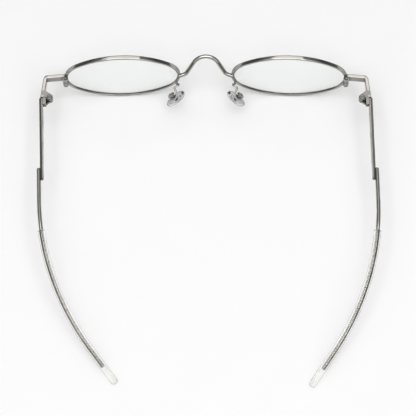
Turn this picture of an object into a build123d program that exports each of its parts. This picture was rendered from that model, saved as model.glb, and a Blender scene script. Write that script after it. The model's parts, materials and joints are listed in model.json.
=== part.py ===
from build123d import *
from math import asin, atan, ceil, cos, degrees, radians, sin
import os

# Oval eyeglasses of thin wire, open and standing on a table on both rims and both
# temple tips. Millimetres and degrees. +Z is up, the front faces -Y, the temples
# run to +Y and +X is the wearer's left. The origin lies on the table, midway
# between the lenses and under the middle of the front.

# Lenses
lens_width = 47.4
lens_height = 30.5
lens_end_radius = 10.9
lens_gap = 22.9
lens_thickness = 1.4
bevel_height = 0.45

# Eyewires round the lenses
rim_wall = 1.1
rim_depth = 1.9
rim_edge_cut = 0.35
rim_split = 0.2
rim_split_drop = 0.8
lens_clearance = 0.03

# Pose of the front
front_tilt = 7.0
lens_wrap = 1.7

# Closing blocks that hold each split rim shut, and their screws
lock_radius = 1.15
lock_rise = 2.0
lock_fall = 3.6
lock_inset = 0.3
lock_overlap = 0.45
lock_screw_radius = 0.5
lock_head_radius = 0.68
lock_head_height = 0.5
lock_screw_recess = 0.4

# Endpieces: a flat strip that leaves the rim and turns back at the corner. Reaches run
# outwards from the outer edge of the lens.
strip_thickness = 1.55
strip_height = 3.5
strip_edge_cut = 0.25
strip_start_y = 0.6
strip_corner_reach = 8.75
strip_corner_y = 1.45
strip_end_reach = 9.95
strip_bend_radius = 1.2

# Hinges: three knuckles on an upright screw
hinge_reach = 6.75
hinge_y = 10.9
knuckle_radius = 1.4
knuckle_height = 1.08
knuckle_gap = 0.05
knuckle_clearance = 0.2
hinge_foot_length = 2.8
temple_foot_length = 3.0
hinge_screw_radius = 0.52
hinge_head_radius = 1.0
hinge_head_height = 0.4
stop_gap = 0.1
stop_inset = 0.1

# Screws: running clearance and the slots in their heads
screw_clearance = 0.03
slot_width = 0.25
slot_depth = 0.2

# Bridge: one bent round wire, with its arch leaning forward
bridge_wire_radius = 0.86
bridge_rise = 7.2
bridge_reach = 5.3
bridge_top_radius = 6.1
bridge_foot_radius = 2.6
bridge_leg_angle = 57.5
bridge_foot_angle = 20.0
bridge_foot_drop = 0.1
bridge_bend_step = 20.0

# Nose pads, their boxes and screws
pad_length = 11.0
pad_width = 6.8
pad_end_radius = 2.6
pad_thickness = 1.4
pad_face_cut = 0.3
pad_back_cut = 0.6
pad_x = 12.3
pad_y = 7.6
pad_drop = 6.9
pad_frontal_angle = 40.0
pad_splay_angle = 16.0
pad_pivot_depth = 2.45
lug_half_length = 0.7
lug_half_width = 0.55
box_wall = 0.35
box_side_clearance = 0.08
box_end_clearance = 0.2
box_pad_gap = 0.35
pad_screw_radius = 0.4
pad_head_radius = 0.7
pad_head_height = 0.35

# Pad arms: a thin flat-sided wire that loops out of the back of the rim and down to the box.
# Each place on its route is measured on the front, as pad_x and pad_drop are.
arm_wire_width = 0.95
arm_wire_thickness = 0.85
arm_bead_width = 1.25
arm_bead_height = 0.5
arm_foot_angle = 17.0
arm_stand_off = 1.3
arm_out_x = 10.75
arm_out_y = 2.2
arm_out_drop = 3.3
arm_back_x = 13.5
arm_back_y = 3.7
arm_back_drop = 3.6
arm_elbow_x = 12.5
arm_elbow_y = 5.5
arm_elbow_drop = 4.0
arm_foot_radius = 0.68
arm_out_radius = 0.7
arm_back_radius = 0.8
arm_elbow_radius = 0.8
arm_bend_step = 50.0

# Temples: a flat bar, a round wire brazed along its outer side and a clear sleeve
temple_splay = 1.1
bar_face_x = 4.42
bar_front_thickness = 1.7
bar_rear_thickness = 1.5
bar_front_height = 3.0
bar_rear_height = 2.2
bar_length = 36.3
bar_nose_radius = 0.5
bar_end_radius = 0.7
bar_edge_cut = 0.3
wire_radius = 0.86
wire_let_in = 0.3
wire_overlap = 5.3
wire_start_cut = 0.4
wire_run = 9.3
curve_radius = 95.3
curve_angle = 40.2
curve_step = 8.1
tip_straight = 17.4
tip_rest_height = 1.3
sleeve_setback = 13.0
sleeve_width = 2.9
sleeve_height = 3.5
sleeve_end_radius = 1.2
sleeve_end_step = 45.0
core_width = 1.1
core_end_gap = 8.7
core_clearance = 0.03

# The left temple stands turned in a little from its open stop
rest_turn = 3.0

# Overrun of every cut
overrun = 1.0


def oval(half_width, half_height, end_radius):
    """A closed face of four tangent arcs, longest along X."""
    side_radius = (half_width**2 + half_height**2 - 2 * half_width * end_radius) / (
        2 * (half_height - end_radius)
    )
    reach = side_radius / (side_radius - end_radius)
    corner_x = (half_width - end_radius) * reach
    corner_y = (side_radius - half_height) * (reach - 1)
    right = ThreePointArc((corner_x, -corner_y), (half_width, 0), (corner_x, corner_y))
    top = ThreePointArc((corner_x, corner_y), (0, half_height), (-corner_x, corner_y))
    left = ThreePointArc((-corner_x, corner_y), (-half_width, 0), (-corner_x, -corner_y))
    bottom = ThreePointArc((-corner_x, -corner_y), (0, -half_height), (corner_x, -corner_y))
    return Face(Wire([right, top, left, bottom]))


def lens_oval(growth):
    """The lens's outline, grown all round, standing in the plane of the front."""
    return Plane.XZ * oval(
        lens_width / 2 + growth, lens_height / 2 + growth, lens_end_radius + growth
    )


def upright_cylinder(radius, low, high, x=0, y=0):
    """A cylinder along Z between two heights."""
    return Location((x, y, low)) * Cylinder(
        radius, high - low, align=(Align.CENTER, Align.CENTER, Align.MIN)
    )


def slotted_screw(shank_radius, head_radius, head_height, length):
    """A screw along Z: the head stands on z = 0 and the shank hangs below it."""
    screw = upright_cylinder(head_radius, 0, head_height)
    screw += upright_cylinder(shank_radius, -length, 0)
    slot = Box(2 * head_radius + overrun, slot_width, slot_depth + overrun)
    return screw - Location((0, 0, head_height + (overrun - slot_depth) / 2)) * slot


def drawn(section, route, side, step=0):
    """A section carried along a route of lines and tangent arcs, its first axis across it.

    With a step, each bend is made of straight lengths that turn by at most that many degrees.
    """
    lengths = []
    for edge in route.edges():
        profile = Plane(edge @ 0, x_dir=side, z_dir=edge % 0) * section
        if edge.geom_type == GeomType.LINE:
            lengths.append(extrude(profile, amount=edge.length))
            continue
        axis = Axis(edge.arc_center, (edge % 0).cross(edge % 1))
        turn = degrees(edge.length / edge.radius)
        if step:
            parts = ceil(turn / step)
            turns = [turn * part / parts for part in range(parts + 1)]
            lengths.append(loft([profile.rotate(axis, part) for part in turns], ruled=True))
        else:
            lengths.append(revolve(profile, axis=axis, revolution_arc=turn))
        side = side.rotate(Axis((0, 0, 0), axis.direction), turn)
    return lengths[0].fuse(*lengths[1:])


# Lenses and eyewires, each in its own lens's frame: x outwards, y back, z up
body_growth = -bevel_height
seat_growth = body_growth + lens_clearance


def lens_disc(growth):
    """A flat lens whose whole edge is a V, grown all round by a clearance."""
    slope = degrees(atan(2 * bevel_height / lens_thickness))
    front_half = extrude(lens_oval(growth), amount=lens_thickness / 2, taper=slope)
    return front_half + mirror(front_half, about=Plane.XZ)


def make_rim_blank():
    """The filled outer form of an eyewire, which its fittings seat against."""
    blank = extrude(lens_oval(seat_growth + rim_wall), amount=rim_depth / 2, both=True)
    return chamfer(blank.edges().filter_by(GeomType.CIRCLE), rim_edge_cut)


def make_rim(blank):
    """An eyewire with its lens groove, split at the temple end."""
    rim = blank - extrude(lens_oval(seat_growth), amount=rim_depth, both=True)
    rim -= lens_disc(lens_clearance)
    split = Box(2 * rim_wall + bevel_height, 2 * rim_depth, rim_split)
    return rim - Location((lens_width / 2, 0, -rim_split_drop)) * split


rim_outer_x = lens_width / 2 + seat_growth + rim_wall
lock_x = rim_outer_x - lock_inset
lock_y = rim_depth / 2 + lock_radius - lock_overlap
split_low = -rim_split_drop - rim_split / 2
split_high = -rim_split_drop + rim_split / 2


def make_lock_upper(blank):
    """The upper half of the closing block, with a clear hole for the screw."""
    barrel = upright_cylinder(lock_radius, split_high, lock_rise, lock_x, lock_y)
    hole = upright_cylinder(
        lock_screw_radius + screw_clearance, split_low, lock_rise + overrun, lock_x, lock_y
    )
    return barrel - hole - blank


def make_lock_lower(blank):
    """The lower half of the closing block, with the threaded hole."""
    barrel = upright_cylinder(lock_radius, -lock_fall, split_low, lock_x, lock_y)
    hole = upright_cylinder(
        lock_screw_radius, -lock_fall - overrun, split_high, lock_x, lock_y
    )
    return barrel - hole - blank


def make_lock_screw():
    """The closing block's screw, its head on the upper half."""
    length = lock_rise + lock_fall - lock_screw_recess
    screw = slotted_screw(lock_screw_radius, lock_head_radius, lock_head_height, length)
    return Location((lock_x, lock_y, lock_rise)) * screw


# The front, in its own upright frame: origin midway between the lens centres
lens_edge_x = lens_gap / 2 + lens_width
lens_centre_x = lens_edge_x - lens_width / 2
strip_corner_x = lens_edge_x + strip_corner_reach
strip_end_x = lens_edge_x + strip_end_reach
hinge_x = lens_edge_x + hinge_reach
lens_place = Location((lens_centre_x, 0, 0), (0, 0, lens_wrap))

rim_blank = make_rim_blank()
rim_blank_placed = lens_place * rim_blank
rim_blank_other = mirror(rim_blank_placed, about=Plane.YZ)


def make_endpiece():
    """The strip from the rim round the corner, soldered above the rim's split only."""
    path = FilletPolyline(
        (lens_edge_x, strip_start_y, 0),
        (strip_corner_x, strip_corner_y, 0),
        (strip_end_x, hinge_y + overrun, 0),
        radius=strip_bend_radius,
    )
    section = Rectangle(strip_height, strip_thickness)
    section = chamfer(section.vertices(), strip_edge_cut)
    strip = drawn(section, path, Vector(0, 0, 1)) - rim_blank_placed
    strip -= lens_place * upright_cylinder(lock_radius, -lock_fall, lock_rise, lock_x, lock_y)
    relief = Box(
        2 * lock_radius,
        2 * (lock_y + lock_radius),
        strip_height,
        align=(Align.MAX, Align.CENTER, Align.MAX),
    )
    return strip - lens_place * Location((lock_x + lock_radius, 0, split_high)) * relief


def make_bridge():
    """The arched bridge wire, trimmed where it meets the rims."""
    lean = Plane((0, 0, 0), x_dir=(1, 0, 0), z_dir=(0, -bridge_rise, -bridge_reach))
    arch = (bridge_rise**2 + bridge_reach**2) ** 0.5
    leg = radians(bridge_leg_angle)
    foot = radians(bridge_foot_angle)
    peak = arch + bridge_top_radius * (1 / cos(leg) - 1)
    end_x = lens_gap / 2 + bevel_height - lens_clearance - rim_wall / 2
    leg_slope = sin(leg) / cos(leg)
    foot_slope = sin(foot) / cos(foot)
    knee_x = (peak + bridge_foot_drop - foot_slope * end_x) / (leg_slope - foot_slope)
    knee_y = peak - leg_slope * knee_x
    path = FilletPolyline(
        lean.from_local_coords((-end_x, -bridge_foot_drop, 0)),
        lean.from_local_coords((-knee_x, knee_y, 0)),
        lean.from_local_coords((0, peak, 0)),
        lean.from_local_coords((knee_x, knee_y, 0)),
        lean.from_local_coords((end_x, -bridge_foot_drop, 0)),
        radius=(bridge_foot_radius, bridge_top_radius, bridge_foot_radius),
    )
    wire = drawn(Circle(bridge_wire_radius), path, lean.z_dir, bridge_bend_step)
    return wire - rim_blank_placed - rim_blank_other


# Nose pad frame: x up along the pad, y across it to the back, z towards the nose
frontal = radians(pad_frontal_angle)
splay = radians(pad_splay_angle)
pad_along = Vector(-sin(frontal), 0, cos(frontal))
pad_normal = Vector(-cos(frontal) * cos(splay), sin(splay), -sin(frontal) * cos(splay))
pad_plane = Plane((pad_x, pad_y, -pad_drop), x_dir=pad_along, z_dir=pad_normal)

box_half_length = lug_half_length + box_end_clearance + box_wall
box_half_width = lug_half_width + box_side_clearance + box_wall
box_mouth = -pad_thickness - box_pad_gap
box_floor = -pad_pivot_depth - lug_half_length - box_end_clearance
box_back = box_floor - box_wall


def across(radius, half_width):
    """A cylinder across the pad, centred on the rocking axis."""
    return Location((0, 0, -pad_pivot_depth), (90, 0, 0)) * Cylinder(radius, 2 * half_width)


def make_nose_pad():
    """An oval pad with a flat face and the lug that hangs in the box behind it."""
    pad = extrude(oval(pad_length / 2, pad_width / 2, pad_end_radius), amount=-pad_thickness)
    rims = pad.edges().filter_by(GeomType.CIRCLE).group_by(Axis.Z)
    pad = chamfer(rims[-1], pad_face_cut)
    rims = pad.edges().filter_by(GeomType.CIRCLE).group_by(Axis.Z)
    pad = chamfer(rims[0], pad_back_cut)
    lug = Location((0, 0, -pad_thickness)) * Box(
        2 * lug_half_length,
        2 * lug_half_width,
        pad_pivot_depth - pad_thickness,
        align=(Align.CENTER, Align.CENTER, Align.MAX),
    )
    lug += across(lug_half_length, lug_half_width)
    return pad + lug - across(pad_screw_radius + screw_clearance, 2 * lug_half_width)


def make_box_blank():
    """The filled outer form of the pad box, which the arm seats against."""
    return Location((0, 0, box_mouth)) * Box(
        2 * box_half_length,
        2 * box_half_width,
        box_mouth - box_back,
        align=(Align.CENTER, Align.CENTER, Align.MAX),
    )


def make_pad_box():
    """The small metal cup that the pad's lug sits in."""
    pocket = Location((0, 0, box_mouth + overrun)) * Box(
        2 * (box_half_length - box_wall),
        2 * (box_half_width - box_wall),
        box_mouth + overrun - box_floor,
        align=(Align.CENTER, Align.CENTER, Align.MAX),
    )
    return make_box_blank() - pocket - across(pad_screw_radius, box_half_width + overrun)


def make_pad_screw():
    """The screw through the box and the lug, its head at the back."""
    screw = slotted_screw(
        pad_screw_radius, pad_head_radius, pad_head_height, 2 * box_half_width
    )
    return Location((0, box_half_width, -pad_pivot_depth), (-90, 0, 0)) * screw


def make_pad_arm():
    """The looped wire from the back of the rim to the end wall of the box."""
    foot = radians(arm_foot_angle)
    foot_x = -(rim_outer_x - rim_wall / 2) * cos(foot)
    foot_z = -(lens_height / 2 + seat_growth + rim_wall / 2) * sin(foot)
    start = (lens_place * Location((foot_x, 0, foot_z))).position
    wall_x = box_half_length - box_wall / 2
    path = FilletPolyline(
        start,
        start + Vector(0, rim_depth / 2 + arm_stand_off, 0),
        (arm_out_x, arm_out_y, -arm_out_drop),
        (arm_back_x, arm_back_y, -arm_back_drop),
        (arm_elbow_x, arm_elbow_y, -arm_elbow_drop),
        pad_plane.from_local_coords((wall_x, 0, (box_mouth + box_back) / 2)),
        radius=(arm_foot_radius, arm_out_radius, arm_back_radius, arm_elbow_radius),
    )
    section = Rectangle(arm_wire_width, arm_wire_thickness)
    wire = drawn(section, path, Vector(1, 0, 0), arm_bend_step)
    bead = Plane(start, x_dir=(1, 0, 0), z_dir=(0, 1, 0)) * Box(
        arm_bead_width,
        arm_bead_width,
        rim_depth / 2 + arm_bead_height,
        align=(Align.CENTER, Align.CENTER, Align.MIN),
    )
    return wire + bead - rim_blank_placed - pad_plane * make_box_blank()


# The front stands tilted on its two rims
tilt = Rotation(front_tilt, 0, 0)
tilted_rims = tilt * rim_blank_placed
front_height = -tilted_rims.bounding_box().min.Z
front_place = Location((0, 0, front_height)) * tilt

# Hinge frame: origin on the screw's axis at mid height, x outwards, y back
hinge_z = front_height + hinge_y * sin(radians(front_tilt))
hinge_place = Location((hinge_x, hinge_y, hinge_z))
leaf_half_height = 1.5 * knuckle_height + knuckle_gap
web_half_height = knuckle_height / 2
plate_x = knuckle_radius + knuckle_clearance
stop_y = -stop_inset
temple_front_y = stop_y + stop_gap


def slab(face, low, high):
    """A flat outline raised between two heights."""
    return Location((0, 0, low)) * extrude(face, amount=high - low)


def leaf_outline(near_y, far_y, outer_x):
    """Outline of a knuckle drawn out to a foot that lies between two places along Y."""
    foot = Polyline(
        (plate_x, near_y), (outer_x, near_y), (outer_x, far_y), (plate_x, far_y), close=True
    )
    knuckle = Circle(knuckle_radius)
    web = make_hull([*foot.edges(), *knuckle.edges()])
    depth = abs(far_y) + 2 * knuckle_radius
    side = Align.MIN if far_y > near_y else Align.MAX
    half = Rectangle(
        2 * (outer_x + knuckle_radius), depth, align=(Align.CENTER, side)
    )
    return knuckle + (web & Location((0, near_y)) * half)


def foot_block(near_y, far_y, outer_x):
    """The plate of a hinge half that lies on the strip or on the bar."""
    middle_y = (near_y + far_y) / 2
    middle_x = (plate_x + outer_x) / 2
    plate = Rectangle(outer_x - plate_x, abs(far_y - near_y))
    return Location((middle_x, middle_y, 0)) * extrude(
        plate, amount=leaf_half_height, both=True
    )


def make_hinge_front(endpiece):
    """Top and bottom knuckles on a foot that lies along the inside of the strip."""
    outer_x = strip_end_x - hinge_x
    far_y = stop_y - hinge_foot_length
    outline = leaf_outline(stop_y, far_y, outer_x)
    low = web_half_height + knuckle_gap
    leaf = slab(outline, low, leaf_half_height) + slab(outline, -leaf_half_height, -low)
    leaf += foot_block(stop_y, far_y, outer_x)
    leaf -= upright_cylinder(hinge_screw_radius, -leaf_half_height, leaf_half_height)
    placed = hinge_place * leaf
    seated = placed - endpiece
    return seated.solids().sort_by(Axis.X)[0]


def make_hinge_screw():
    """The hinge's screw, its head on the top knuckle."""
    screw = slotted_screw(
        hinge_screw_radius, hinge_head_radius, hinge_head_height, 2 * leaf_half_height
    )
    return hinge_place * Location((0, 0, leaf_half_height)) * screw


# Temple frame: the hinge frame turned out by the splay, with y along the bar
temple_place = hinge_place * Location((0, 0, 0), (0, 0, -temple_splay))

wire_x = bar_face_x - wire_let_in + wire_radius
wire_start = bar_length - wire_overlap
curve_start = bar_length + wire_run
sleeve_start = curve_start + sleeve_setback
curve_turn = radians(curve_angle)
curve_depth = curve_radius * (1 - cos(curve_turn)) + tip_straight * sin(curve_turn)
curve_lean = asin((hinge_z - tip_rest_height) / curve_depth)
inwards = Vector(-cos(curve_lean), 0, -sin(curve_lean))
bend_axis = Vector(0, 1, 0).cross(inwards)
curve_end = curve_start + curve_radius * curve_turn
temple_length = curve_end + tip_straight


def wire_point(along):
    """The place on the temple's centre line at a length from the hinge."""
    straight = Vector(wire_x, min(along, curve_start), 0)
    turn = min(max(along - curve_start, 0) / curve_radius, curve_turn)
    curved = Vector(0, curve_radius * sin(turn), 0) + inwards * (curve_radius * (1 - cos(turn)))
    beyond = max(along - curve_end, 0)
    heading = Vector(0, cos(curve_turn), 0) + inwards * sin(curve_turn)
    return straight + curved + heading * beyond


def wire_route(start, end):
    """The temple's centre line between two lengths: a line, an arc and a line."""
    edges = []
    if start < curve_start:
        edges.append(Line(wire_point(start), wire_point(min(end, curve_start))))
    arc_start = max(start, curve_start)
    arc_end = min(end, curve_end)
    if arc_start < arc_end:
        middle = wire_point((arc_start + arc_end) / 2)
        edges.append(ThreePointArc(wire_point(arc_start), middle, wire_point(arc_end)))
    if end > curve_end:
        edges.append(Line(wire_point(max(start, curve_end)), wire_point(end)))
    return Wire(edges)


def temple_rod(section, start, end):
    """A section carried along the temple between two lengths."""
    return drawn(section, wire_route(start, end), bend_axis, curve_step)


def make_temple_wire():
    """The round wire, stepped down to the square core that runs inside the sleeve."""
    wire = temple_rod(Circle(wire_radius), wire_start, sleeve_start)
    wire = chamfer(wire.edges().group_by(Axis.Y)[0], wire_start_cut)
    core_section = Rectangle(core_width, core_width)
    return wire + temple_rod(core_section, sleeve_start, temple_length - core_end_gap)


def sleeve_section(shrink):
    """The sleeve's oval outline, upright at the hinge and drawn in all round."""
    outline = Ellipse(sleeve_height / 2 - shrink, sleeve_width / 2 - shrink)
    return Rotation(0, 0, degrees(curve_lean)) * outline


def make_temple_tip():
    """The clear sleeve, bored for the core and rounded at its closed end."""
    cap_start = temple_length - sleeve_end_radius
    sleeve = temple_rod(sleeve_section(0), sleeve_start, cap_start)
    heading = Vector(0, cos(curve_turn), 0) + inwards * sin(curve_turn)
    cap_sections = []
    for step in range(ceil(90 / sleeve_end_step) + 1):
        lift = radians(step * sleeve_end_step)
        place = wire_point(cap_start + sleeve_end_radius * sin(lift))
        plane = Plane(place, x_dir=bend_axis, z_dir=heading)
        cap_sections.append(plane * sleeve_section(sleeve_end_radius * (1 - cos(lift))))
    sleeve += loft(cap_sections, ruled=True)
    core_end = temple_length - core_end_gap + core_clearance
    bore_width = core_width + 2 * core_clearance
    return sleeve - temple_rod(Rectangle(bore_width, bore_width), sleeve_start, core_end)


def make_temple_bar(wire):
    """The bar from the hinge, thinner and lower to its rounded end, grooved for the wire."""
    length = bar_length - temple_front_y
    top_view = Polyline(
        (bar_face_x, temple_front_y),
        (bar_face_x, bar_length),
        (bar_face_x - bar_rear_thickness, bar_length),
        (bar_face_x - bar_front_thickness, temple_front_y),
        close=True,
    )
    flat = extrude(make_face(top_view), amount=bar_front_height, both=True)
    uprights = flat.edges().filter_by(Axis.Z).group_by(Axis.Y)
    flat = fillet(uprights[-1], bar_end_radius)
    uprights = flat.edges().filter_by(Axis.Z).group_by(Axis.Y)
    flat = fillet(uprights[0], bar_nose_radius)
    side_view = Plane.YZ * Polyline(
        (temple_front_y, -bar_front_height / 2),
        (bar_length, -bar_rear_height / 2),
        (bar_length, bar_rear_height / 2),
        (temple_front_y, bar_front_height / 2),
        close=True,
    )
    tall = extrude(make_face(side_view), amount=bar_face_x + length)
    bar = flat & tall
    caps = bar.faces().sort_by(Axis.Z)
    bar = chamfer(caps[0].edges() + caps[-1].edges(), bar_edge_cut)
    return bar - wire


def make_temple_hinge(bar):
    """The middle knuckle on a foot brazed to the inside of the bar."""
    outer_x = bar_face_x - bar_rear_thickness
    far_y = temple_front_y + temple_foot_length
    outline = leaf_outline(temple_front_y, far_y, outer_x)
    leaf = slab(outline, -web_half_height, web_half_height)
    leaf += foot_block(temple_front_y, far_y, outer_x)
    hole_radius = hinge_screw_radius + screw_clearance
    leaf -= upright_cylinder(hole_radius, -leaf_half_height, leaf_half_height)
    return (leaf - bar).solids().sort_by(Axis.X)[0]


# The pieces of the row, each under its node's name
pieces = {}


def add_pair(name, piece):
    """A piece on the wearer's left, and its mirror image on the right."""
    pieces[name + "_left"] = piece
    pieces[name + "_right"] = mirror(piece, about=Plane.YZ)


def add_temple_pair(name, piece):
    """A temple piece on both sides, the left one turned in about its hinge."""
    pieces[name + "_left"] = hinge_place * Rotation(0, 0, rest_turn - temple_splay) * piece
    pieces[name + "_right"] = mirror(temple_place * piece, about=Plane.YZ)


lens_frame = front_place * lens_place
endpiece = front_place * make_endpiece()
behind_stop = Location((0, hinge_y + stop_y, 0)) * Box(
    2 * (strip_end_x + strip_height),
    hinge_y,
    4 * front_height,
    align=(Align.CENTER, Align.MIN, Align.CENTER),
)
endpiece -= behind_stop

add_pair("rim", lens_frame * make_rim(rim_blank))
add_pair("lens", lens_frame * lens_disc(0))
add_pair("rim_lock_upper", lens_frame * make_lock_upper(rim_blank))
add_pair("rim_lock_lower", lens_frame * make_lock_lower(rim_blank))
add_pair("rim_lock_screw", lens_frame * make_lock_screw())
add_pair("endpiece", endpiece)
add_pair("hinge_front", make_hinge_front(endpiece))
add_pair("hinge_screw", make_hinge_screw())

add_pair("pad_arm", front_place * make_pad_arm())
add_pair("pad_box", front_place * (pad_plane * make_pad_box()))
add_pair("pad_screw", front_place * (pad_plane * make_pad_screw()))
add_pair("nose_pad", front_place * (pad_plane * make_nose_pad()))
pieces["bridge"] = front_place * make_bridge()

temple_wire = make_temple_wire()
temple_bar = make_temple_bar(temple_wire)
add_temple_pair("temple_bar", temple_bar)
add_temple_pair("temple_hinge", make_temple_hinge(temple_bar))
add_temple_pair("temple_wire", temple_wire)
add_temple_pair("temple_tip", make_temple_tip())

os.makedirs("parts", exist_ok=True)
for name, piece in pieces.items():
    export_step(piece, f"parts/{name}.step")
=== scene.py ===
import bpy
from math import asin, atan2, ceil, cos, pi, radians, sin, tan
from mathutils import Matrix, Vector
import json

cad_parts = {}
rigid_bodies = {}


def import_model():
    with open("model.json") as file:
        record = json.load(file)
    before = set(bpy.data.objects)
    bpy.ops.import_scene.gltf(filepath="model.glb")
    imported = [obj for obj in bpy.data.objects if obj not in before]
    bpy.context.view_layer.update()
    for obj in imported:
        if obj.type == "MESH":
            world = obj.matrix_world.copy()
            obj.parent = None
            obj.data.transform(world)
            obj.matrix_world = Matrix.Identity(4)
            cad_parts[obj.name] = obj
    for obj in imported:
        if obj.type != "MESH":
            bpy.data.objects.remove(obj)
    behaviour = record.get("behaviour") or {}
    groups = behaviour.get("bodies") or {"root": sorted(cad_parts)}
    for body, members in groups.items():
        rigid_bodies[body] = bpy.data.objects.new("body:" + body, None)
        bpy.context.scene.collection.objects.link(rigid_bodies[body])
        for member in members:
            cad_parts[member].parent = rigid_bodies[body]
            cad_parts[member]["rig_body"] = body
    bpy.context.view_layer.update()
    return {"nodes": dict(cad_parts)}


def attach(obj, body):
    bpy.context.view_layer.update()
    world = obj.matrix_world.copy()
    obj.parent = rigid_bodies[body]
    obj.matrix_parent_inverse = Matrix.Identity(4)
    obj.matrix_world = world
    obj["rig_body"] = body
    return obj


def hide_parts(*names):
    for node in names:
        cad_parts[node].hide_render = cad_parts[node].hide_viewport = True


# Oval eyeglasses of thin polished wire, standing on a table on both rims and both temple tips.
# New pieces are modelled in millimetres on the wearer's left and mirrored to the right. MM turns
# a length into metres, the unit of the frame's nodes, the materials, the lamps and the camera.

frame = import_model()
nodes = frame["nodes"]
MM = 0.001

# Materials: noise scales, and the ranges over which a look sets in, among them the painted
# shade in crevices, at outlines seen edge on and on the temple wire's core
NOISE_DETAIL = 3.0
NOISE_LOW = 0.3
NOISE_HIGH = 0.7
METAL_TONE_SCALE = 160.0
METAL_ROUGH_SCALE = 900.0
GRAIN_SCALE = 2500.0
GRAIN_STRENGTH = 0.02
GRAIN_DEPTH = 0.00001
CLEAR_TONE_SCALE = 120.0
CLEAR_ROUGH_SCALE = 700.0
TABLE_TONE_SCALE = 60.0
FACING_BLEND = 0.5
METAL_EDGE_SHADE_FROM = 0.3
METAL_EDGE_SHADE_TO = 0.75
METAL_EDGE_SHADE_SHARE = 0.8
CLEAR_EDGE_SHADE_TO = 0.8
CREVICE_SHADE_REACH = 0.0012
CREVICE_SHADE_COVERED = 0.45
CREVICE_SHADE_OPEN = 0.98
CORE_SHADE_FROM = 0.069
CORE_SHADE_BLEND = 0.0005


def new_material(name):
    """A material with its node tree, its Principled shader and a texture coordinate node."""
    material = bpy.data.materials.new(name)
    material.use_nodes = True
    tree = material.node_tree
    shader = tree.nodes["Principled BSDF"]
    place = tree.nodes.new("ShaderNodeTexCoord")
    return material, tree, shader, place


def map_range(tree, value, from_low, from_high, to_low=0.0, to_high=1.0):
    """A value that follows another one, moved to a new range and held inside it."""
    span = tree.nodes.new("ShaderNodeMapRange")
    span.inputs["From Min"].default_value = from_low
    span.inputs["From Max"].default_value = from_high
    span.inputs["To Min"].default_value = to_low
    span.inputs["To Max"].default_value = to_high
    tree.links.new(value, span.inputs["Value"])
    return span.outputs["Result"]


def noise_range(tree, place, scale, low, high):
    """A noise that runs between two values."""
    noise = tree.nodes.new("ShaderNodeTexNoise")
    noise.inputs["Scale"].default_value = scale
    noise.inputs["Detail"].default_value = NOISE_DETAIL
    tree.links.new(place.outputs["Object"], noise.inputs["Vector"])
    return map_range(tree, noise.outputs["Fac"], NOISE_LOW, NOISE_HIGH, low, high)


def edge_factor(tree, start, end, most=1.0):
    """A factor that grows from 0 to most where a surface is seen edge on."""
    facing = tree.nodes.new("ShaderNodeLayerWeight")
    facing.inputs["Blend"].default_value = FACING_BLEND
    return map_range(tree, facing.outputs["Facing"], start, end, 0.0, most)


def add_bump(tree, shader, height, strength, distance):
    """A fine relief on a shader's normal."""
    bump = tree.nodes.new("ShaderNodeBump")
    bump.inputs["Strength"].default_value = strength
    bump.inputs["Distance"].default_value = distance
    tree.links.new(height, bump.inputs["Height"])
    tree.links.new(bump.outputs["Normal"], shader.inputs["Normal"])


def tint(tree, factor, first, second):
    """A colour that runs with a factor from first to second, each a colour or a socket."""
    mix = tree.nodes.new("ShaderNodeMix")
    mix.data_type = "RGBA"
    for name, colour in (("A", first), ("B", second)):
        if isinstance(colour, tuple):
            mix.inputs[name].default_value = (*colour, 1.0)
        else:
            tree.links.new(colour, mix.inputs[name])
    tree.links.new(factor, mix.inputs["Factor"])
    return mix.outputs["Result"]


def metal(
    name,
    pale,
    deep,
    painted_shade_colour,
    roughness,
    reach=CREVICE_SHADE_REACH,
    covered=CREVICE_SHADE_COVERED,
    alone=False,
    core_shade=None,
):
    """Metal with a faint tone and grain, and with painted shade: darker in its crevices and gaps,
    where neighbouring parts would shade it, and darker where it is seen edge on, a painted
    dark outline in place of dark reflections.

    A piece that stands alone gets no painted shade from its neighbours. With a core shade
    colour, the part of the piece that lies further back than a set distance takes that colour,
    a painted shade for the core seen through its sleeve.
    """
    material, tree, shader, place = new_material(name)
    shader.inputs["Metallic"].default_value = 1.0
    colour = tint(tree, noise_range(tree, place, METAL_TONE_SCALE, 0.0, 1.0), pale, deep)
    # Painted shade: the core inside the clear sleeve is coloured darker than the bare wire
    if core_shade:
        length = tree.nodes.new("ShaderNodeSeparateXYZ")
        tree.links.new(place.outputs["Object"], length.inputs["Vector"])
        inside = map_range(tree, length.outputs["Y"], CORE_SHADE_FROM, CORE_SHADE_FROM + CORE_SHADE_BLEND)
        colour = tint(tree, inside, colour, core_shade)
    # Painted shade in gaps and crevices, where ambient occlusion finds other surfaces close by
    open_side = tree.nodes.new("ShaderNodeAmbientOcclusion")
    open_side.inputs["Distance"].default_value = reach
    open_side.only_local = alone
    openness = map_range(tree, open_side.outputs["AO"], covered, CREVICE_SHADE_OPEN)
    colour = tint(tree, openness, painted_shade_colour, colour)
    # Painted shade at the outline: darker where the surface is seen edge on
    edge_on_shade = edge_factor(tree, METAL_EDGE_SHADE_FROM, METAL_EDGE_SHADE_TO, METAL_EDGE_SHADE_SHARE)
    colour = tint(tree, edge_on_shade, colour, painted_shade_colour)
    tree.links.new(colour, shader.inputs["Base Color"])
    rough = noise_range(tree, place, METAL_ROUGH_SCALE, *roughness)
    tree.links.new(rough, shader.inputs["Roughness"])
    grain = noise_range(tree, place, GRAIN_SCALE, 0.0, 1.0)
    add_bump(tree, shader, grain, GRAIN_STRENGTH, GRAIN_DEPTH)
    return material


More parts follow.
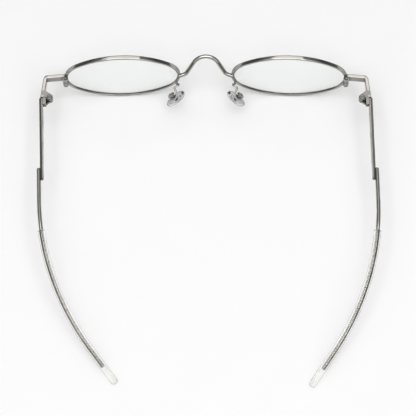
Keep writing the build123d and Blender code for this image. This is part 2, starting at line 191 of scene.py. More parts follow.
def clear(name, pale, deep, edge_shade, edge_shade_from, roughness, ior):
    """Clear plastic or glass, with painted shade where it is seen edge on.

    Lamps and soft light shine straight through it to what lies behind.
    """
    material, tree, shader, place = new_material(name)
    shader.inputs["Transmission Weight"].default_value = 1.0
    shader.inputs["IOR"].default_value = ior
    colour = tint(tree, noise_range(tree, place, CLEAR_TONE_SCALE, 0.0, 1.0), pale, deep)
    # Painted shade: a dark outline where the surface is seen edge on
    colour = tint(tree, edge_factor(tree, edge_shade_from, CLEAR_EDGE_SHADE_TO), colour, edge_shade)
    tree.links.new(colour, shader.inputs["Base Color"])
    rough = noise_range(tree, place, CLEAR_ROUGH_SCALE, *roughness)
    tree.links.new(rough, shader.inputs["Roughness"])
    path = tree.nodes.new("ShaderNodeLightPath")
    through = tree.nodes.new("ShaderNodeBsdfTransparent")
    through.inputs["Color"].default_value = (*deep, 1.0)
    either = tree.nodes.new("ShaderNodeMath")
    either.operation = "MAXIMUM"
    tree.links.new(path.outputs["Is Shadow Ray"], either.inputs[0])
    tree.links.new(path.outputs["Is Diffuse Ray"], either.inputs[1])
    mix = tree.nodes.new("ShaderNodeMixShader")
    tree.links.new(either.outputs["Value"], mix.inputs["Fac"])
    tree.links.new(shader.outputs["BSDF"], mix.inputs[1])
    tree.links.new(through.outputs["BSDF"], mix.inputs[2])
    tree.links.new(mix.outputs["Shader"], tree.nodes["Material Output"].inputs["Surface"])
    return material


NICKEL = (0.50, 0.485, 0.455)
NICKEL_DEEP = (0.42, 0.405, 0.375)
# The colour of the painted shade in crevices and at outlines seen edge on
PAINTED_SHADE = (0.025, 0.022, 0.02)
POLISH = (0.04, 0.08)
frame_metal = metal("polished_nickel", NICKEL, NICKEL_DEEP, PAINTED_SHADE, POLISH)
# Fittings: a near-black painted shade in their gaps, reaching further and setting in sooner
fitting_metal = metal(
    "machined_nickel",
    NICKEL,
    deep=(0.40, 0.385, 0.36),
    painted_shade_colour=(0.008, 0.007, 0.006),
    roughness=(0.05, 0.1),
    reach=0.0016,
    covered=0.62,
)
# Temple wire: its core inside the sleeve painted darker, a painted shade; no painted shade from
# neighbours
wire_metal = metal(
    "drawn_wire",
    pale=(0.47, 0.455, 0.425),
    deep=(0.38, 0.365, 0.34),
    painted_shade_colour=PAINTED_SHADE,
    roughness=POLISH,
    alone=True,
    core_shade=(0.21, 0.2, 0.175),
)
# Eyewires: painted shade from neighbours only within a short reach
rim_metal = metal("rolled_nickel", NICKEL, NICKEL_DEEP, PAINTED_SHADE, POLISH, reach=0.0005)
# Screws: painted shade toward a dark colour in their crevices and at their outlines
screw_metal = metal(
    "screw_steel",
    pale=(0.36, 0.345, 0.325),
    deep=(0.26, 0.25, 0.235),
    painted_shade_colour=(0.02, 0.018, 0.016),
    roughness=(0.1, 0.2),
)
# Lenses: a faint painted shade where seen edge on
lens_glass = clear(
    "lens_glass",
    pale=(0.985, 0.991, 0.989),
    deep=(0.977, 0.985, 0.982),
    edge_shade=(0.85, 0.88, 0.87),
    edge_shade_from=0.6,
    roughness=(0.0, 0.02),
    ior=1.5,
)
# Pads: near-black painted shade at their outlines seen edge on
pad_clear = clear(
    "pad_silicone",
    pale=(0.88, 0.89, 0.89),
    deep=(0.78, 0.79, 0.79),
    edge_shade=(0.02, 0.02, 0.02),
    edge_shade_from=0.35,
    roughness=(0.0, 0.03),
    ior=1.42,
)
# Tips: near-black painted shade at their outlines seen edge on
tip_clear = clear(
    "tip_acetate",
    pale=(0.97, 0.97, 0.96),
    deep=(0.93, 0.93, 0.92),
    edge_shade=(0.01, 0.0095, 0.009),
    edge_shade_from=0.42,
    roughness=(0.0, 0.03),
    ior=1.47,
)

FINISHES = {
    "frame_metal": frame_metal,
    "screw_metal": screw_metal,
    "lens": lens_glass,
    "pad_clear": pad_clear,
    "tip_clear": tip_clear,
}

# Sizes that several pieces share, each as in the CAD source
LENS_HALF_WIDTH = 23.7
LENS_HALF_HEIGHT = 15.25
LENS_END_RADIUS = 10.9
LENS_CENTRE_X = 35.15
LENS_EDGE_X = 58.85
LENS_WRAP = radians(1.7)
FRONT_TILT = radians(7.0)
FRONT_HEIGHT = 15.8846
RIM_INNER = -0.42
RIM_OUTER = 0.68
RIM_HALF_DEPTH = 0.95
GROOVE_DEPTH = 0.45
HINGE = Vector((65.6, 10.9, 17.2129))
OPEN_SPLAY = radians(1.1)
REST_TURN = radians(3.0)

# Modelling: the angle up to which an edge is shaded smooth, the width of an inset that is resized
# afterwards, how near a point lies to the plane it belongs to, and the distances within which
# points are merged on a new piece (in mm), a mirrored piece and a copied CAD node (both in metres)
SMOOTH_ANGLE = radians(40.0)
THIN_INSET = 0.001
ON_PLANE = 0.001
MERGE = 0.002
MERGE_MIRRORED = 0.000002
MERGE_NODE = 0.000001

# Places: the front stands tilted, a lens is turned on the front, a temple hangs on its hinge
front_place = Matrix.Translation((0, 0, FRONT_HEIGHT)) @ Matrix.Rotation(FRONT_TILT, 4, "X")
lens_place = (
    front_place
    @ Matrix.Translation((LENS_CENTRE_X, 0, 0))
    @ Matrix.Rotation(LENS_WRAP, 4, "Z")
)
temple_place = Matrix.Translation(HINGE) @ Matrix.Rotation(-OPEN_SPLAY, 4, "Z")
left_temple_turn = (
    Matrix.Translation(HINGE)
    @ Matrix.Rotation(REST_TURN, 4, "Z")
    @ Matrix.Translation(-HINGE)
)
to_metres = Matrix.Scale(MM, 4)
to_other_side = Matrix.Scale(-1.0, 4, (1, 0, 0))


# Modelling by operators
def deselect():
    """Select nothing."""
    bpy.ops.object.select_all(action="DESELECT")


def only(piece):
    """Select one object and make it the active one."""
    deselect()
    piece.select_set(True)
    bpy.context.view_layer.objects.active = piece


def object_mode():
    """Leave edit mode."""
    if bpy.context.object.mode != "OBJECT":
        bpy.ops.object.mode_set(mode="OBJECT")


def set_in_place(piece, place):
    """Move a piece's mesh, leaving its object at the origin."""
    only(piece)
    piece.matrix_world = place @ piece.matrix_world
    bpy.ops.object.transform_apply(location=True, rotation=True, scale=True)


def lay(side, heading):
    """The turn that faces a section along heading with its first axis along side."""
    heading = heading.normalized()
    side = (side - heading * side.dot(heading)).normalized()
    return Matrix((side, heading.cross(side), heading)).transposed().to_euler()


def round_section(at, side, heading, half_width, half_height, points):
    """An oval section, ready in edit mode."""
    deselect()
    bpy.ops.mesh.primitive_circle_add(
        vertices=points,
        radius=half_width,
        fill_type="NGON",
        location=at,
        rotation=lay(side, heading),
    )
    piece = bpy.context.active_object
    piece.scale = (1, half_height / half_width, 1)
    bpy.ops.object.transform_apply(location=False, rotation=False, scale=True)
    bpy.ops.object.mode_set(mode="EDIT")
    bpy.ops.mesh.select_all(action="SELECT")
    return piece


def flat_section(at, side, heading, width, height, rounding, segments):
    """A rectangular section with rounded corners, ready in edit mode."""
    deselect()
    bpy.ops.mesh.primitive_plane_add(size=1, location=at, rotation=lay(side, heading))
    piece = bpy.context.active_object
    piece.scale = (width, height, 1)
    bpy.ops.object.transform_apply(location=False, rotation=False, scale=True)
    bpy.ops.object.mode_set(mode="EDIT")
    bpy.ops.mesh.select_all(action="SELECT")
    bpy.ops.mesh.bevel(affect="VERTICES", offset=rounding, segments=segments)
    bpy.ops.mesh.select_all(action="SELECT")
    return piece


def choose(piece, test):
    """Select the points of a piece that pass a test, ready in edit mode."""
    object_mode()
    only(piece)
    bpy.ops.object.mode_set(mode="EDIT")
    bpy.ops.mesh.select_mode(type="VERT")
    bpy.ops.mesh.select_all(action="DESELECT")
    bpy.ops.object.mode_set(mode="OBJECT")
    for point in piece.data.vertices:
        point.select = test(piece.matrix_world @ point.co)
    bpy.ops.object.mode_set(mode="EDIT")


def choose_faces(piece, test):
    """Select the faces of a piece that pass a test in its own coordinates, ready in edit mode."""
    object_mode()
    only(piece)
    bpy.ops.object.mode_set(mode="EDIT")
    bpy.ops.mesh.select_mode(type="FACE")
    bpy.ops.mesh.select_all(action="DESELECT")
    bpy.ops.object.mode_set(mode="OBJECT")
    for face in piece.data.polygons:
        face.select = test(face)
    bpy.ops.object.mode_set(mode="EDIT")


def run(vector):
    """Draw the selected section on along a straight line."""
    bpy.ops.mesh.extrude_region_move(TRANSFORM_OT_translate={"value": vector})


def bend(centre, axis, turn, step):
    """Draw the selected section on round an axis, in short steps."""
    bpy.ops.mesh.spin(
        steps=max(1, ceil(turn / step)), angle=turn, center=centre, axis=-Vector(axis)
    )


def grow(factor, centre):
    """Resize the selection about a centre."""
    bpy.ops.transform.resize(value=(factor,) * 3, center_override=centre)


def draw_wire(points, radii, step):
    """Draw the selected section on along straight runs with rounded corners."""
    place = Vector(points[0])
    for corner, after, radius in zip(points[1:-1], points[2:], radii):
        corner = Vector(corner)
        into = (corner - place).normalized()
        out = (Vector(after) - corner).normalized()
        turn = into.angle(out)
        reach = radius * tan(turn / 2)
        axis = into.cross(out).normalized()
        near = corner - into * reach
        run(near - place)
        bend(near + axis.cross(into) * radius, axis, turn, step)
        place = corner + out * reach
    run(Vector(points[-1]) - place)


def tidy_faces(piece, merge=MERGE):
    """Merge doubles and turn all faces outwards."""
    only(piece)
    bpy.ops.object.mode_set(mode="EDIT")
    bpy.ops.mesh.select_all(action="SELECT")
    bpy.ops.mesh.remove_doubles(threshold=merge)
    bpy.ops.mesh.normals_make_consistent(inside=False)
    bpy.ops.object.mode_set(mode="OBJECT")


def apply_modifier(piece, kind, **settings):
    """Add a modifier with its settings and apply it."""
    only(piece)
    modifier = piece.modifiers.new(kind.lower(), kind)
    for name, value in settings.items():
        setattr(modifier, name, value)
    bpy.ops.object.modifier_apply(modifier=modifier.name)


def copy_of(piece):
    """A copy with its own mesh."""
    other = piece.copy()
    other.data = piece.data.copy()
    bpy.context.collection.objects.link(other)
    return other


def finish(piece, name, body, slot, node, dress=None):
    """Name and dress a piece, and let it ride on its body in the place of a CAD node."""
    only(piece)
    bpy.ops.object.shade_smooth_by_angle(angle=SMOOTH_ANGLE)
    piece.name = name
    piece.data.name = name
    piece.data.materials.clear()
    piece.data.materials.append(dress or FINISHES[slot])
    if slot.endswith("metal"):
        apply_modifier(piece, "WEIGHTED_NORMAL", keep_sharp=True)
    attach(piece, body)
    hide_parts(node)


def front_pair(piece, name, node, slot, place=front_place, body="front", dress=None):
    """A piece of the front in millimetres, set on the left and mirrored to the right."""
    set_in_place(piece, place)
    set_in_place(piece, to_metres)
    other = copy_of(piece)
    set_in_place(other, to_other_side)
    tidy_faces(other, MERGE_MIRRORED)
    for side, half in (("left", piece), ("right", other)):
        on = body if body == "front" else f"{body}_{side}"
        finish(half, f"{name}_{side}", on, slot, f"{node}_{side}", dress)


def temple_pair(piece, name, node, slot, dress=None):
    """A temple's piece in millimetres, mirrored to the right and turned in on the left."""
    set_in_place(piece, temple_place)
    other = copy_of(piece)
    set_in_place(piece, to_metres @ left_temple_turn)
    set_in_place(other, to_metres @ to_other_side)
    tidy_faces(other, MERGE_MIRRORED)
    for side, half in (("left", piece), ("right", other)):
        finish(half, f"{name}_{side}", f"temple_{side}", slot, f"{node}_{side}", dress)


# The lens's outline: two end arcs and two flatter side arcs
OUTLINE_END_STEP = radians(2.6)
OUTLINE_SIDE_STEP = radians(1.3)
END_CENTRE_X = LENS_HALF_WIDTH - LENS_END_RADIUS
SIDE_RADIUS = (
    LENS_HALF_WIDTH**2 + LENS_HALF_HEIGHT**2 - 2 * LENS_HALF_WIDTH * LENS_END_RADIUS
) / (2 * (LENS_HALF_HEIGHT - LENS_END_RADIUS))
SIDE_CENTRE_Z = SIDE_RADIUS - LENS_HALF_HEIGHT
CORNER_TURN = atan2(SIDE_CENTRE_Z, END_CENTRE_X)
OUTLINE_AXIS = Vector((0, -1, 0))


def draw_outline(start=0.0, end=0.0):
    """Draw the selected section on round the lens, between two turns about its temple end."""
    bend((END_CENTRE_X, 0, 0), OUTLINE_AXIS, CORNER_TURN - start, OUTLINE_END_STEP)
    bend((0, 0, -SIDE_CENTRE_Z), OUTLINE_AXIS, pi - 2 * CORNER_TURN, OUTLINE_SIDE_STEP)
    bend((-END_CENTRE_X, 0, 0), OUTLINE_AXIS, 2 * CORNER_TURN, OUTLINE_END_STEP)
    bend((0, 0, SIDE_CENTRE_Z), OUTLINE_AXIS, pi - 2 * CORNER_TURN, OUTLINE_SIDE_STEP)
    bend((END_CENTRE_X, 0, 0), OUTLINE_AXIS, CORNER_TURN + end, OUTLINE_END_STEP)


# Eyewires: a grooved section drawn round the lens from one side of the split to the other
SPLIT_HIGH = -0.7
SPLIT_LOW = -0.9
RIM_ROUNDING = 0.48
RIM_ROUNDING_STEPS = 6
GROOVE_CUTS = 3
GROOVE_PICK = 0.01
rim_middle = (RIM_INNER + RIM_OUTER) / 2
split_radius = LENS_END_RADIUS + rim_middle
start_turn = SPLIT_HIGH / split_radius
end_turn = SPLIT_LOW / split_radius
rim_heading = Vector((-sin(start_turn), 0, cos(start_turn)))
outwards = Vector((cos(start_turn), 0, sin(start_turn)))
rim_start = Vector((END_CENTRE_X, 0, 0)) + outwards * split_radius


def on_inner_side(point):
    """Whether a point of the rim's first section lies on the side that faces the lens."""
    return (point - rim_start).dot(outwards) < RIM_INNER - rim_middle + GROOVE_PICK


rim = flat_section(
    rim_start,
    outwards,
    rim_heading,
    RIM_OUTER - RIM_INNER,
    2 * RIM_HALF_DEPTH,
    RIM_ROUNDING,
    RIM_ROUNDING_STEPS,
)
choose(rim, on_inner_side)
bpy.ops.mesh.subdivide(number_cuts=GROOVE_CUTS)
choose(rim, lambda point: on_inner_side(point) and abs(point.y) < GROOVE_PICK)
bpy.ops.transform.translate(value=outwards * GROOVE_DEPTH)
bpy.ops.mesh.select_all(action="SELECT")
draw_outline(start_turn, end_turn)
object_mode()
tidy_faces(rim)
front_pair(rim, "eyewire", "rim", "frame_metal", lens_place, dress=rim_metal)

# Lenses: one point drawn round the outline, closed inwards in rings to two shallow domes
LENS_HALF_THICKNESS = 0.7
LENS_BEVEL = 0.45
DOME_RISE = 0.9
DOME_RINGS = (0.97, 0.93, 0.87, 0.8, 0.7, 0.58, 0.44, 0.28, 0.12)
# The point is the corner of a small plane whose other corners are deleted
SEED_SIZE = 1.0
SEED_PICK = 0.1
deselect()
bpy.ops.mesh.primitive_plane_add(
    size=SEED_SIZE, location=(LENS_HALF_WIDTH + SEED_SIZE / 2, SEED_SIZE / 2, 0)
)
lens = bpy.context.active_object
choose(lens, lambda point: point.x > LENS_HALF_WIDTH + SEED_PICK or point.y > SEED_PICK)
bpy.ops.mesh.delete(type="VERT")
bpy.ops.mesh.select_all(action="SELECT")
draw_outline()
bpy.ops.mesh.select_all(action="SELECT")
bpy.ops.mesh.remove_doubles(threshold=MERGE)
for face_y in (-LENS_HALF_THICKNESS, LENS_HALF_THICKNESS):
    choose(lens, lambda point: abs(point.y) < ON_PLANE)
    run((0, face_y, 0))
    bpy.ops.transform.resize(
        value=(1 - LENS_BEVEL / LENS_HALF_WIDTH, 1, 1 - LENS_BEVEL / LENS_HALF_HEIGHT),
        center_override=(0, face_y, 0),
    )
    size = 1.0
    height = 0.0
    for ring in DOME_RINGS:
        rise = DOME_RISE * (1 - ring**2) - height
        height += rise
        run((0, -rise, 0))
        grow(ring / size, (0, face_y - height, 0))
        size = ring
    bpy.ops.mesh.edge_face_add()
object_mode()
tidy_faces(lens)
front_pair(lens, "clear_lens", "lens", "lens", lens_place)

# Bridge: one round wire, its arch leaning forward
BRIDGE_RADIUS = 0.86
BRIDGE_RISE = 7.2
BRIDGE_REACH = 5.3
BRIDGE_TOP_RADIUS = 6.1
BRIDGE_FOOT_RADIUS = 2.6
BRIDGE_LEG = radians(57.5)
BRIDGE_FOOT = radians(20.0)
BRIDGE_FOOT_DROP = 0.1
BRIDGE_OVERLAP = 0.55
BRIDGE_POINTS = 20
BRIDGE_STEP = radians(6.0)
bridge_end_x = LENS_CENTRE_X - LENS_HALF_WIDTH - RIM_INNER - BRIDGE_OVERLAP
arch = (BRIDGE_RISE**2 + BRIDGE_REACH**2) ** 0.5
lean = Vector((0, -BRIDGE_REACH, BRIDGE_RISE)).normalized()
across_bridge = Vector((1, 0, 0))
peak = arch + BRIDGE_TOP_RADIUS * (1 / cos(BRIDGE_LEG) - 1)
knee_x = (peak + BRIDGE_FOOT_DROP - tan(BRIDGE_FOOT) * bridge_end_x) / (
    tan(BRIDGE_LEG) - tan(BRIDGE_FOOT)
)
knee_height = peak - tan(BRIDGE_LEG) * knee_x
bridge_points = [
    across_bridge * x + lean * height
    for x, height in (
        (-bridge_end_x, -BRIDGE_FOOT_DROP),
        (-knee_x, knee_height),
        (0, peak),
        (knee_x, knee_height),
        (bridge_end_x, -BRIDGE_FOOT_DROP),
    )
]
bridge = round_section(
    bridge_points[0],
    across_bridge.cross(lean),
    bridge_points[1] - bridge_points[0],
    BRIDGE_RADIUS,
    BRIDGE_RADIUS,
    BRIDGE_POINTS,
)
draw_wire(bridge_points, (BRIDGE_FOOT_RADIUS, BRIDGE_TOP_RADIUS, BRIDGE_FOOT_RADIUS), BRIDGE_STEP)
object_mode()
tidy_faces(bridge)
set_in_place(bridge, to_metres @ front_place)
finish(bridge, "bridge_wire", "front", "frame_metal", "bridge")

# Endpieces: a strip that leaves the rim, turns the corner and ends at the hinge's stop. Its path
# is given outwards from the lens's edge and backwards from the lens's plane
STRIP_THICKNESS = 1.55
STRIP_HEIGHT = 3.5
STRIP_ROUNDING = 0.32
STRIP_ROUNDING_STEPS = 4
STRIP_PATH = ((0.3, 0.63), (8.75, 1.45), (9.95, 11.9))
STRIP_BEND = 1.2
STRIP_BEND_STEP = radians(7.0)
STOP_Y = 10.8
# Below the rim's split a block is cut out of the strip, so that it holds only the upper end
RELIEF_PLACE = (57.6, 0, -1.7)
RELIEF_HALF_SIZE = (2.9, 4.0, 1.0)
strip_points = [Vector((LENS_EDGE_X + out, back, 0)) for out, back in STRIP_PATH]
endpiece = flat_section(
    strip_points[0],
    Vector((0, 0, 1)),
    strip_points[1] - strip_points[0],
    STRIP_HEIGHT,
    STRIP_THICKNESS,
    STRIP_ROUNDING,
    STRIP_ROUNDING_STEPS,
)
draw_wire(strip_points, (STRIP_BEND,), STRIP_BEND_STEP)
object_mode()
tidy_faces(endpiece)
set_in_place(endpiece, front_place)
bpy.ops.object.mode_set(mode="EDIT")
bpy.ops.mesh.select_all(action="SELECT")
bpy.ops.mesh.bisect(
    plane_co=(0, STOP_Y, 0), plane_no=(0, 1, 0), use_fill=True, clear_outer=True
)
object_mode()
set_in_place(endpiece, front_place.inverted())
deselect()
bpy.ops.mesh.primitive_cube_add(size=2, location=RELIEF_PLACE)
relief = bpy.context.active_object
relief.scale = RELIEF_HALF_SIZE
relief.rotation_euler = (0, 0, LENS_WRAP)
apply_modifier(endpiece, "BOOLEAN", operation="DIFFERENCE", object=relief)
bpy.data.objects.remove(relief)
front_pair(endpiece, "endpiece_strip", "endpiece", "frame_metal")

# Pad arms: a thin wire that loops out of the back of the rim and down to the pad box
ARM_HALF_WIDTH = 0.46
ARM_HALF_HEIGHT = 0.43
ARM_POINTS = 16
ARM_PATH = (
    (12.3713, -0.2, -4.4967),
    (12.3713, 1.5739, -4.4967),
    (10.75, 2.2, -3.3),
    (13.5, 3.7, -3.6),
    (12.5, 5.5, -4.0),
    (13.6156, 6.8489, -4.3928),
)
ARM_RADII = (0.68, 0.7, 0.8, 0.8)
ARM_STEP = radians(12.0)
arm_points = [Vector(point) for point in ARM_PATH]
pad_arm = round_section(
    arm_points[0],
    Vector((1, 0, 0)),
    arm_points[1] - arm_points[0],
    ARM_HALF_WIDTH,
    ARM_HALF_HEIGHT,
    ARM_POINTS,
)
draw_wire(arm_points, ARM_RADII, ARM_STEP)
object_mode()
tidy_faces(pad_arm)
front_pair(pad_arm, "pad_arm_wire", "pad_arm", "frame_metal")

# Nose pads: a soft oval cushion, its edges rolled. Its rings are shares of the full outline. Those
# of the hollow and of the edge each come with a step away from the skin, and the back is flat
PAD_HALF_LENGTH = 5.5
PAD_HALF_WIDTH = 3.4
PAD_POINTS = 48
PAD_PLACE = Vector((12.3, 7.6, -6.9))
PAD_ALONG = Vector((-0.642788, 0, 0.766044))
PAD_NORMAL = Vector((-0.736369, 0.275637, -0.617887))
PAD_ACROSS = PAD_NORMAL.cross(PAD_ALONG)
PAD_SKIN_SIDE = 0.84
PAD_HOLLOW_RINGS = ((0.66, 0.02), (0.42, 0.02), (0.2, 0.01))
PAD_EDGE_RINGS = (
    (0.93, 0.12),
    (0.985, 0.2),
    (1.0, 0.3),
    (0.99, 0.28),
    (0.94, 0.25),
    (0.84, 0.18),
    (0.7, 0.07),
)
PAD_BACK_RINGS = (0.5, 0.25)
SKIN_SIDE_UP = 0.9
pad_place = front_place @ Matrix.Translation(PAD_PLACE) @ Matrix(
    (PAD_ALONG, PAD_ACROSS, PAD_NORMAL)
).transposed().to_4x4()
nose_pad = round_section(
    (0, 0, 0),
    Vector((1, 0, 0)),
    Vector((0, 0, -1)),
    PAD_HALF_LENGTH,
    PAD_HALF_WIDTH,
    PAD_POINTS,
)
grow(PAD_SKIN_SIDE, (0, 0, 0))
size = PAD_SKIN_SIDE
depth = 0.0
for ring, drop in PAD_EDGE_RINGS:
    run((0, 0, -drop))
    depth -= drop
    grow(ring / size, (0, 0, depth))
    size = ring
for ring in PAD_BACK_RINGS:
    bpy.ops.mesh.inset(thickness=THIN_INSET)
    grow(ring / size, (0, 0, depth))
    size = ring
object_mode()
choose_faces(
    nose_pad, lambda face: abs(face.center.z) < ON_PLANE and face.normal.z > SKIN_SIDE_UP
)
size = PAD_SKIN_SIDE
for ring, drop in PAD_HOLLOW_RINGS:
    bpy.ops.mesh.inset(thickness=THIN_INSET)
    grow(ring / size, (0, 0, 0))
    bpy.ops.transform.translate(value=(0, 0, -drop))
    size = ring
object_mode()
tidy_faces(nose_pad)

# The pad's lug, which hangs in the box: a short lying rod, its upper half drawn up to the pad
LUG_RADIUS = 0.7
LUG_LENGTH = 1.1
LUG_POINTS = 32
LUG_Z = -2.45
LUG_RUN = 1.3
LUG_TOP = -1.2
LUG_EASING = 0.06
LUG_EASING_STEPS = 2
UPPER_HALF_UP = 0.3
ROUND_SIDE_ALONG = 0.1
deselect()
bpy.ops.mesh.primitive_cylinder_add(
    vertices=LUG_POINTS,
    radius=LUG_RADIUS,
    depth=LUG_LENGTH,
    location=(0, 0, LUG_Z),
    rotation=(radians(90), 0, 0),
)
lug = bpy.context.active_object
bpy.ops.object.transform_apply(location=True, rotation=True, scale=True)
choose_faces(
    lug,
    lambda face: face.normal.z > UPPER_HALF_UP and abs(face.normal.y) < ROUND_SIDE_ALONG,
)
run((0, 0, LUG_RUN))
bpy.ops.transform.resize(value=(1, 1, 0), center_override=(0, 0, LUG_TOP))
object_mode()
tidy_faces(lug)
apply_modifier(
    lug, "BEVEL", width=LUG_EASING, segments=LUG_EASING_STEPS, limit_method="ANGLE"
)
apply_modifier(nose_pad, "BOOLEAN", operation="UNION", object=lug)
bpy.data.objects.remove(lug)
front_pair(nose_pad, "pad_cushion", "nose_pad", "pad_clear", pad_place, "pad")

# The temple's line behind the bar: straight, then one long bend, then straight to the tip
WIRE_X = 4.98
CURVE_START = 45.6
CURVE_RADIUS = 95.3
CURVE_TURN = radians(40.2)
CURVE_STEP = radians(1.5)
SLEEVE_START = 58.6
TIP_STRAIGHT = 17.4
TIP_REST_HEIGHT = 1.3
curve_depth = CURVE_RADIUS * (1 - cos(CURVE_TURN)) + TIP_STRAIGHT * sin(CURVE_TURN)
curve_lean = asin((HINGE.z - TIP_REST_HEIGHT) / curve_depth)
inwards = Vector((-cos(curve_lean), 0, -sin(curve_lean)))
backwards = Vector((0, 1, 0))
curve_axis = backwards.cross(inwards)
curve_centre = Vector((WIRE_X, CURVE_START, 0)) + inwards * CURVE_RADIUS
sleeve_turn = (SLEEVE_START - CURVE_START) / CURVE_RADIUS


def on_curve(turn):
    """The place on the temple's bend after a turn."""
    return curve_centre + (backwards * sin(turn) - inwards * cos(turn)) * CURVE_RADIUS


def curve_heading(turn):
    """The way the temple runs after a turn of its bend."""
    return backwards * cos(turn) + inwards * sin(turn)


mouth = on_curve(sleeve_turn)
curve_end = on_curve(CURVE_TURN)
tip_heading = curve_heading(CURVE_TURN)

# Temple wires: a round wire from the bar to the sleeve, then the thin core inside it
WIRE_RADIUS = 0.86
WIRE_POINTS = 24
WIRE_START = 31.0
WIRE_NOSE = 0.35
WIRE_NOSE_RINGS = ((0.7, 0.12), (0.9, 0.2), (1.0, 0.35))
CORE_RADIUS = 0.55
CORE_END_GAP = 8.7
CORE_TAPER = 0.2
CORE_TAPER_SIZE = 0.6
temple_wire = round_section(
    (WIRE_X, WIRE_START, 0),
    curve_axis,
    backwards,
    WIRE_RADIUS * WIRE_NOSE,
    WIRE_RADIUS * WIRE_NOSE,
    WIRE_POINTS,
)
along = WIRE_START
size = WIRE_NOSE
for ring, forward in WIRE_NOSE_RINGS:
    run((0, forward, 0))
    along += forward
    grow(ring / size, (WIRE_X, along, 0))
    size = ring
run((0, CURVE_START - along, 0))
bend(curve_centre, curve_axis, sleeve_turn, CURVE_STEP)
bpy.ops.mesh.inset(thickness=THIN_INSET)
grow(CORE_RADIUS / WIRE_RADIUS, mouth)
bend(curve_centre, curve_axis, CURVE_TURN - sleeve_turn, CURVE_STEP)
run(tip_heading * (TIP_STRAIGHT - CORE_END_GAP - CORE_TAPER))
run(tip_heading * CORE_TAPER)
grow(CORE_TAPER_SIZE, curve_end + tip_heading * (TIP_STRAIGHT - CORE_END_GAP))
object_mode()
tidy_faces(temple_wire)
temple_pair(temple_wire, "temple_rod", "temple_wire", "frame_metal", wire_metal)

# Sleeves: a clear oval tube over the core, bored for it and rounded at its closed end
SLEEVE_HALF_WIDTH = 1.45
SLEEVE_HALF_HEIGHT = 1.75
SLEEVE_POINTS = 32
CAP_LENGTH = 1.2
CAP_RINGS = 5
CAP_RING_DEGREES = 16.0
CAP_SHRINK = 0.85
BORE_RADIUS = 0.6
BORE_END_PLAY = 0.05
MOUTH_CORNERS = 8
MOUTH_PICK = 0.5
sleeve = round_section(
    mouth,
    curve_axis,
    curve_heading(sleeve_turn),
    SLEEVE_HALF_HEIGHT,
    SLEEVE_HALF_WIDTH,
    SLEEVE_POINTS,
)
bend(curve_centre, curve_axis, CURVE_TURN - sleeve_turn, CURVE_STEP)
cap_place = curve_end + tip_heading * (TIP_STRAIGHT - CAP_LENGTH)
run(cap_place - curve_end)
size = 1.0
for ring in range(1, CAP_RINGS + 1):
    lift = radians(CAP_RING_DEGREES * ring)
    reach = CAP_LENGTH * (sin(lift) - sin(lift - radians(CAP_RING_DEGREES)))
    run(tip_heading * reach)
    cap_place = cap_place + tip_heading * reach
    shrunk = 1 - (1 - cos(lift)) * CAP_SHRINK
    grow(shrunk / size, cap_place)
    size = shrunk
object_mode()
set_in_place(sleeve, Matrix.Identity(4))
choose_faces(
    sleeve,
    lambda face: len(face.vertices) > MOUTH_CORNERS
    and (face.center - mouth).length < MOUTH_PICK,
)
bpy.ops.mesh.inset(thickness=THIN_INSET)
grow(BORE_RADIUS / SLEEVE_HALF_HEIGHT, mouth)
bend(curve_centre, curve_axis, CURVE_TURN - sleeve_turn, CURVE_STEP)
run(tip_heading * (TIP_STRAIGHT - CORE_END_GAP + BORE_END_PLAY))
object_mode()
tidy_faces(sleeve)
temple_pair(sleeve, "clear_sleeve", "temple_tip", "tip_clear")

# Small turned and cut fittings: the CAD solids with their sharp edges eased by a width
FITTINGS = (
    ("rim_lock_upper", 0.12),
    ("rim_lock_lower", 0.12),
    ("rim_lock_screw", 0.05),
    ("hinge_front", 0.1),
    ("hinge_screw", 0.06),
    ("temple_hinge", 0.1),
    ("temple_bar", 0.25),
    ("pad_box", 0.2),
    ("pad_screw", 0.05),
)
EASING_STEPS = 2
FLAT_WITHIN = radians(1.0)
SHARP_FROM = radians(35.0)
BAR_CHAMFER = 0.55
BAR_CHAMFER_SLOPE = radians(40.0)
# How far the ends and the top edge of a bar reach, in search of its two outer top corners
BAR_FRONT_REACH = 1.5
BAR_REAR_REACH = 2.0
BAR_TOP_REACH = 0.6


def chamfer_bar(piece):
    """Cut a long slope along the outer top edge of a temple bar."""
    points = [point.co for point in piece.data.vertices]
    outer = 1.0 if points[0].x > 0 else -1.0
    front = min(point.y for point in points) + BAR_FRONT_REACH * MM
    rear = max(point.y for point in points) - BAR_REAR_REACH * MM
    top = max(point.z for point in points) - BAR_TOP_REACH * MM
    high = [point for point in points if point.z > top]
    start = max((point for point in high if point.y < front), key=lambda point: point.x * outer)
    end = max((point for point in high if point.y > rear), key=lambda point: point.x * outer)
    along = (end - start).normalized()
    slope = Vector((outer * sin(BAR_CHAMFER_SLOPE), 0, cos(BAR_CHAMFER_SLOPE)))
    slope = (slope - along * slope.dot(along)).normalized()
    bpy.ops.object.mode_set(mode="EDIT")
    bpy.ops.mesh.select_all(action="SELECT")
    bpy.ops.mesh.bisect(
        plane_co=start - Vector((outer * BAR_CHAMFER * MM, 0, 0)),
        plane_no=slope,
        use_fill=True,
        clear_outer=True,
    )
    object_mode()


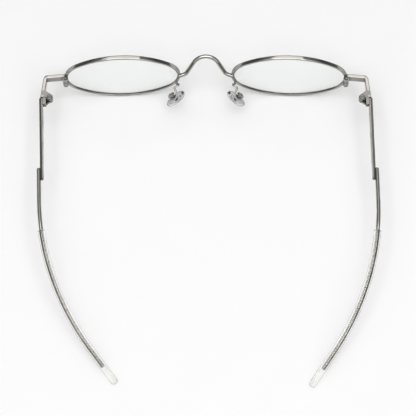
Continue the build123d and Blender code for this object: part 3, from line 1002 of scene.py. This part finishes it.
def eased(node, name, width):
    """A copy of a CAD node with its edges eased, riding in its place."""
    piece = copy_of(node)
    piece.parent = None
    body = node["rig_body"]
    tidy_faces(piece, MERGE_NODE)
    bpy.ops.object.mode_set(mode="EDIT")
    bpy.ops.mesh.select_all(action="SELECT")
    bpy.ops.mesh.dissolve_limited(angle_limit=FLAT_WITHIN)
    object_mode()
    if "bar" in name:
        chamfer_bar(piece)
    apply_modifier(
        piece,
        "BEVEL",
        width=width * MM,
        segments=EASING_STEPS,
        limit_method="ANGLE",
        angle_limit=SHARP_FROM,
        use_clamp_overlap=True,
    )
    if "screw" in name:
        finish(piece, f"{name}_eased", body, "screw_metal", name)
    else:
        dress = frame_metal if "bar" in name else fitting_metal
        finish(piece, f"{name}_eased", body, "frame_metal", name, dress)


for fitting, easing in FITTINGS:
    for side in ("left", "right"):
        eased(nodes[f"{fitting}_{side}"], f"{fitting}_{side}", easing)

# Floor
FLOOR_SIZE = 4.0
FLOOR_PALE = (0.97, 0.97, 0.97)
FLOOR_DEEP = (0.96, 0.96, 0.96)
bpy.ops.mesh.primitive_plane_add(size=FLOOR_SIZE, location=(0, 0, 0))
floor = bpy.context.active_object
floor.name = "floor"
table_top, tree, shader, place = new_material("white_table")
shader.inputs["Roughness"].default_value = 0.9
shader.inputs["Specular IOR Level"].default_value = 0.1
speck = noise_range(tree, place, TABLE_TONE_SCALE, 0.0, 1.0)
tree.links.new(tint(tree, speck, FLOOR_PALE, FLOOR_DEEP), shader.inputs["Base Color"])
floor.data.materials.append(table_top)

# Lamps: the place, width, depth and power of each softbox
SOFTBOXES = {
    "overhead_softbox": ((0.0, 0.24, 1.1), 0.9, 0.9, 7.0),
    "front_softbox": ((0.1, -0.6, 0.85), 1.0, 0.2, 0.7),
    "rear_softbox_right": ((-0.5, 0.8, 0.9), 0.5, 0.5, 1.5),
    "rear_softbox_left": ((0.5, 0.8, 0.9), 0.5, 0.5, 1.1),
}
LIT_POINT = (0, 0.05, 0)
for name, (place, width, depth, power) in SOFTBOXES.items():
    lamp = bpy.data.lights.new(name, "AREA")
    lamp.shape = "RECTANGLE"
    lamp.size = width
    lamp.size_y = depth
    lamp.energy = power
    light = bpy.data.objects.new(name, lamp)
    bpy.context.collection.objects.link(light)
    light.location = place
    aim = Vector(LIT_POINT) - Vector(place)
    light.rotation_euler = aim.to_track_quat("-Z", "Y").to_euler()

# Studio: grey levels by height, bright to just above the horizon and overhead, dark between
STUDIO_LEVELS = (
    (0.0, 0.95),
    (0.08, 0.95),
    (0.14, 0.16),
    (0.5, 0.07),
    (0.68, 0.27),
    (0.84, 0.4),
    (0.92, 0.9),
)
world = bpy.data.worlds.new("studio")
bpy.context.scene.world = world
world.use_nodes = True
tree = world.node_tree
direction = tree.nodes.new("ShaderNodeTexCoord")
parts = tree.nodes.new("ShaderNodeSeparateXYZ")
tree.links.new(direction.outputs["Generated"], parts.inputs["Vector"])
ramp = tree.nodes.new("ShaderNodeValToRGB")
stops = ramp.color_ramp.elements
while len(stops) < len(STUDIO_LEVELS):
    stops.new(0.5)
for stop, (position, level) in zip(stops, STUDIO_LEVELS):
    stop.position = position
    stop.color = (level, level, level, 1.0)
tree.links.new(parts.outputs["Z"], ramp.inputs["Fac"])
tree.links.new(ramp.outputs["Color"], tree.nodes["Background"].inputs["Color"])

# Camera: it looks steeply down at the front from the temples' side
CAMERA_PLACE = (-0.0009, 0.3987, 0.9773)
CAMERA_ELEVATION = radians(70.55)
CAMERA_FOCAL_PIXELS = 2461.0
IMAGE_PIXELS = 416.0
SENSOR_WIDTH = 36.0
camera_data = bpy.data.cameras.new("camera")
camera_data.sensor_width = SENSOR_WIDTH
camera_data.lens = SENSOR_WIDTH * CAMERA_FOCAL_PIXELS / IMAGE_PIXELS
camera = bpy.data.objects.new("camera", camera_data)
bpy.context.collection.objects.link(camera)
back = Vector((0, cos(CAMERA_ELEVATION), sin(CAMERA_ELEVATION)))
right = Vector((-1, 0, 0))
up = back.cross(right)
camera.matrix_world = Matrix.Translation(CAMERA_PLACE) @ Matrix(
    (right, up, back)
).transposed().to_4x4()
bpy.context.scene.camera = camera
bpy.context.scene.view_settings.view_transform = "Standard"
